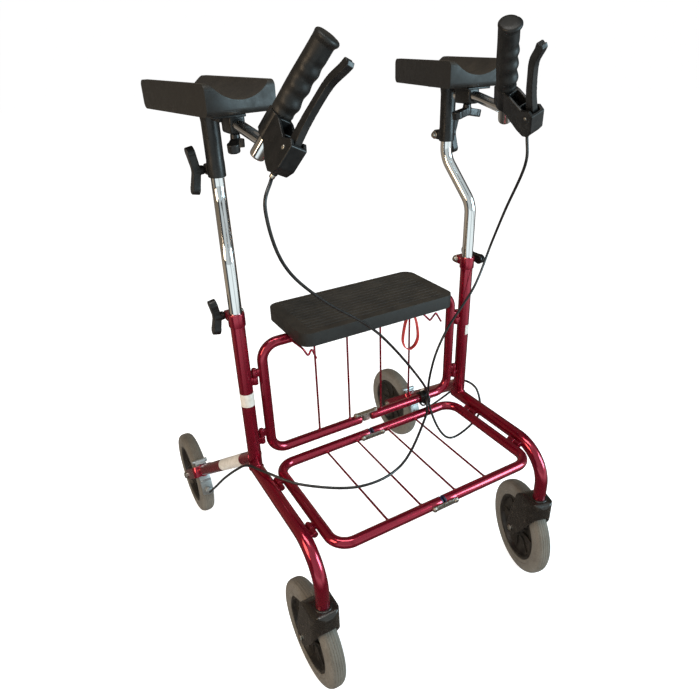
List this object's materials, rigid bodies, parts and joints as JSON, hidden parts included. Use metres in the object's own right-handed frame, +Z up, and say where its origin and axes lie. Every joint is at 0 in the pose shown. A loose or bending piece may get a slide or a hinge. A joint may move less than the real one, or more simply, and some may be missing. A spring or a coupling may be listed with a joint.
{
  "type": "folding forearm support walker",
  "caption": "Folding wheeled walker with gutter-shaped forearm supports, telescoping posts, hand brakes, a tip-up seat and a wire shelf.",
  "frame": {"origin": "on the floor, at the centre of the footprint", "axes": "+Z up; +Y towards the user, the back; -Y the front, where the casters are; +X the right-hand side in a view along +Y"},
  "size_m": [0.658, 0.7593, 1.0773],
  "materials": {
    "red_frame": "translucent candy-red paint over bright metal, high gloss",
    "chrome_tube": "bright chrome plate",
    "pad_plastic": "matt moulded skin foam, softly worn on the channel",
    "grip_rubber": "matt moulded rubber with finger waves",
    "black_plastic": "satin moulded plastic",
    "fork_plastic": "semi-gloss moulded plastic",
    "rim_plastic": "satin moulded plastic with radial ribs",
    "grey_tyre": "matt warm-grey rubber with fine tread lines",
    "zinc_steel": "bright zinc-plated steel",
    "galvanised_steel": "dull galvanised steel",
    "cable_sheath": "smooth black cable sheath",
    "red_webbing": "woven webbing"
  },
  "bodies": {
    "left_frame": {"post_tube_left": "red_frame", "side_rail_left": "red_frame", "rear_bracket_left": "red_frame", "rear_axle_left": "zinc_steel", "post_bolt_left": "zinc_steel", "brake_cable_left": "cable_sheath"},
    "right_frame": {"post_tube_right": "red_frame", "side_rail_right": "red_frame", "rear_bracket_right": "red_frame", "rear_axle_right": "zinc_steel", "post_bolt_right": "zinc_steel", "brake_cable_right": "cable_sheath"},
    "back_left": {"back_frame_left": "red_frame"},
    "back_link": {"back_link_lower": "zinc_steel", "back_link_upper": "zinc_steel"},
    "back_right": {"back_frame_right": "red_frame", "cable_tie": "black_plastic", "pull_strap": "red_webbing"},
    "shelf_left": {"shelf_frame_left": "red_frame"},
    "shelf_link": {"shelf_link_rear": "zinc_steel", "shelf_link_front": "zinc_steel"},
    "shelf_right": {"shelf_frame_right": "red_frame"},
    "seat": {"seat_board": "pad_plastic"},
    "upper_post_left": {"chrome_post_left": "chrome_tube"},
    "arm_left": {"arm_sleeve_left": "black_plastic", "arm_trough_left": "pad_plastic", "sleeve_bolt_left": "zinc_steel"},
    "hand_left": {"hand_bar_left": "chrome_tube", "hand_grip_left": "grip_rubber", "brake_housing_left": "black_plastic"},
    "lever_left": {"brake_lever_left": "black_plastic"},
    "shoe_left": {"brake_shoe_left": "galvanised_steel"},
    "caster_left": {"caster_fork_left": "fork_plastic", "caster_axle_left": "zinc_steel"},
    "front_wheel_left": {"front_tyre_left": "grey_tyre", "front_rim_left": "rim_plastic"},
    "rear_wheel_left": {"rear_tyre_left": "grey_tyre", "rear_rim_left": "rim_plastic"},
    "post_clamp_left": {"post_knob_left": "black_plastic"},
    "sleeve_clamp_left": {"sleeve_knob_left": "black_plastic"},
    "bar_clamp_left": {"bar_knob_left": "black_plastic"},
    "upper_post_right": {"chrome_post_right": "chrome_tube"},
    "arm_right": {"arm_sleeve_right": "black_plastic", "arm_trough_right": "pad_plastic", "sleeve_bolt_right": "zinc_steel"},
    "hand_right": {"hand_bar_right": "chrome_tube", "hand_grip_right": "grip_rubber", "brake_housing_right": "black_plastic"},
    "lever_right": {"brake_lever_right": "black_plastic"},
    "shoe_right": {"brake_shoe_right": "galvanised_steel"},
    "caster_right": {"caster_fork_right": "fork_plastic", "caster_axle_right": "zinc_steel"},
    "front_wheel_right": {"front_tyre_right": "grey_tyre", "front_rim_right": "rim_plastic"},
    "rear_wheel_right": {"rear_tyre_right": "grey_tyre", "rear_rim_right": "rim_plastic"},
    "post_clamp_right": {"post_knob_right": "black_plastic"},
    "sleeve_clamp_right": {"sleeve_knob_right": "black_plastic"},
    "bar_clamp_right": {"bar_knob_right": "black_plastic"}
  },
  "joints": [
    {"name": "fold", "type": "hinge", "parent": "left_frame", "child": "back_left", "pos_m": [-0.228, -0.0624, 0.3545], "axis": [0, 0, 1], "range_deg": [0, 56]},
    {"name": "back_left_link_turn", "type": "hinge", "parent": "back_left", "child": "back_link", "pos_m": [-0.023, -0.0624, 0.3545], "axis": [0, 0, -1], "range_deg": [0, 56]},
    {"name": "back_right_link_turn", "type": "hinge", "parent": "back_link", "child": "back_right", "pos_m": [0.023, -0.0624, 0.3545], "axis": [0, 0, -1], "range_deg": [0, 56]},
    {"name": "right_frame_turn", "type": "hinge", "parent": "back_right", "child": "right_frame", "pos_m": [0.228, -0.0624, 0.3545], "axis": [0, 0, 1], "range_deg": [0, 56]},
    {"name": "shelf_left_turn", "type": "hinge", "parent": "left_frame", "child": "shelf_left", "pos_m": [-0.228, -0.0797, 0.326], "axis": [0, -1, 0], "range_deg": [0, 56]},
    {"name": "shelf_left_link_turn", "type": "hinge", "parent": "shelf_left", "child": "shelf_link", "pos_m": [-0.023, -0.0797, 0.326], "axis": [0, 1, 0], "range_deg": [0, 56]},
    {"name": "shelf_right_link_turn", "type": "hinge", "parent": "shelf_link", "child": "shelf_right", "pos_m": [0.023, -0.0797, 0.326], "axis": [0, 1, 0], "range_deg": [0, 56]},
    {"name": "seat_tilt", "type": "hinge", "parent": "back_left", "child": "seat", "pos_m": [0, -0.0624, 0.584], "axis": [-1, 0, 0], "range_deg": [0, 90]},
    {"name": "post_height_left", "type": "slide", "parent": "left_frame", "child": "upper_post_left", "axis": [0, 0, 1], "range_m": [-0.08, 0.1]},
    {"name": "arm_turn_left", "type": "hinge", "parent": "upper_post_left", "child": "arm_left", "pos_m": [-0.2285, -0.0024, 0.926], "axis": [0, 0, -1], "range_deg": [-5, 30]},
    {"name": "bar_reach_left", "type": "slide", "parent": "arm_left", "child": "hand_left", "axis": [0, -1, 0], "range_m": [-0.004, 0.03]},
    {"name": "lever_squeeze_left", "type": "hinge", "parent": "hand_left", "child": "lever_left", "pos_m": [-0.20298, -0.23955, 0.93389], "axis": [-0.8975, -0.1181, 0.4249], "range_deg": [0, 16], "stiffness_Nm_per_rad": 0.6, "springref_deg": -11.46, "deforming": ["brake_cable_left"]},
    {"name": "shoe_press_left", "type": "hinge", "parent": "left_frame", "child": "shoe_left", "pos_m": [-0.299, 0.2094, 0.18075], "axis": [1, 0, 0], "range_deg": [0, 0.48]},
    {"name": "caster_swivel_left", "type": "hinge", "parent": "left_frame", "child": "caster_left", "pos_m": [-0.2468, -0.3269, 0.2215], "axis": [0, 0, 1], "continuous": true},
    {"name": "front_wheel_spin_left", "type": "hinge", "parent": "caster_left", "child": "front_wheel_left", "pos_m": [-0.2468, -0.2789, 0.1], "axis": [1, 0, 0], "continuous": true},
    {"name": "rear_wheel_spin_left", "type": "hinge", "parent": "left_frame", "child": "rear_wheel_left", "pos_m": [-0.299, 0.2796, 0.1], "axis": [1, 0, 0], "continuous": true},
    {"name": "post_knob_turn_left", "type": "hinge", "parent": "left_frame", "child": "post_clamp_left", "pos_m": [-0.2608, -0.0429, 0.648], "axis": [-1, 0, 0], "continuous": true},
    {"name": "sleeve_knob_turn_left", "type": "hinge", "parent": "arm_left", "child": "sleeve_clamp_left", "pos_m": [-0.2425, 0.0171, 0.876], "axis": [-1, 0, 0], "continuous": true},
    {"name": "bar_knob_turn_left", "type": "hinge", "parent": "arm_left", "child": "bar_clamp_left", "pos_m": [-0.2155, -0.0724, 0.938], "axis": [0, 0, -1], "continuous": true},
    {"name": "post_height_right", "type": "slide", "parent": "right_frame", "child": "upper_post_right", "axis": [0, 0, 1], "range_m": [-0.08, 0.1]},
    {"name": "arm_turn_right", "type": "hinge", "parent": "upper_post_right", "child": "arm_right", "pos_m": [0.2285, -0.0024, 0.934], "axis": [0, 0, 1], "range_deg": [-5, 30]},
    {"name": "bar_reach_right", "type": "slide", "parent": "arm_right", "child": "hand_right", "axis": [0, -1, 0], "range_m": [-0.004, 0.03]},
    {"name": "lever_squeeze_right", "type": "hinge", "parent": "hand_right", "child": "lever_right", "pos_m": [0.20298, -0.23955, 0.94189], "axis": [-0.8975, 0.1181, -0.4249], "range_deg": [0, 16], "stiffness_Nm_per_rad": 0.6, "springref_deg": -11.46, "deforming": ["brake_cable_right"]},
    {"name": "shoe_press_right", "type": "hinge", "parent": "right_frame", "child": "shoe_right", "pos_m": [0.299, 0.2094, 0.18075], "axis": [1, 0, 0], "range_deg": [0, 0.48]},
    {"name": "caster_swivel_right", "type": "hinge", "parent": "right_frame", "child": "caster_right", "pos_m": [0.2468, -0.3269, 0.2215], "axis": [0, 0, 1], "continuous": true},
    {"name": "front_wheel_spin_right", "type": "hinge", "parent": "caster_right", "child": "front_wheel_right", "pos_m": [0.25979, -0.28069, 0.1], "axis": [0.9627, -0.2706, 0], "continuous": true},
    {"name": "rear_wheel_spin_right", "type": "hinge", "parent": "right_frame", "child": "rear_wheel_right", "pos_m": [0.299, 0.2796, 0.1], "axis": [1, 0, 0], "continuous": true},
    {"name": "post_knob_turn_right", "type": "hinge", "parent": "right_frame", "child": "post_clamp_right", "pos_m": [0.2608, -0.0429, 0.648], "axis": [1, 0, 0], "continuous": true},
    {"name": "sleeve_knob_turn_right", "type": "hinge", "parent": "arm_right", "child": "sleeve_clamp_right", "pos_m": [0.2425, 0.0171, 0.884], "axis": [1, 0, 0], "continuous": true},
    {"name": "bar_knob_turn_right", "type": "hinge", "parent": "arm_right", "child": "bar_clamp_right", "pos_m": [0.2155, -0.0724, 0.946], "axis": [0, 0, -1], "continuous": true}
  ],
  "couplings": [
    {"joint": "back_left_link_turn", "follows": "fold", "ratio": 1},
    {"joint": "back_right_link_turn", "follows": "fold", "ratio": 1},
    {"joint": "right_frame_turn", "follows": "fold", "ratio": 1},
    {"joint": "shelf_left_turn", "follows": "fold", "ratio": 1},
    {"joint": "shelf_left_link_turn", "follows": "fold", "ratio": 1},
    {"joint": "shelf_right_link_turn", "follows": "fold", "ratio": 1},
    {"joint": "shoe_press_left", "follows": "lever_squeeze_left", "ratio": 0.03},
    {"joint": "shoe_press_right", "follows": "lever_squeeze_right", "ratio": 0.03}
  ]
}
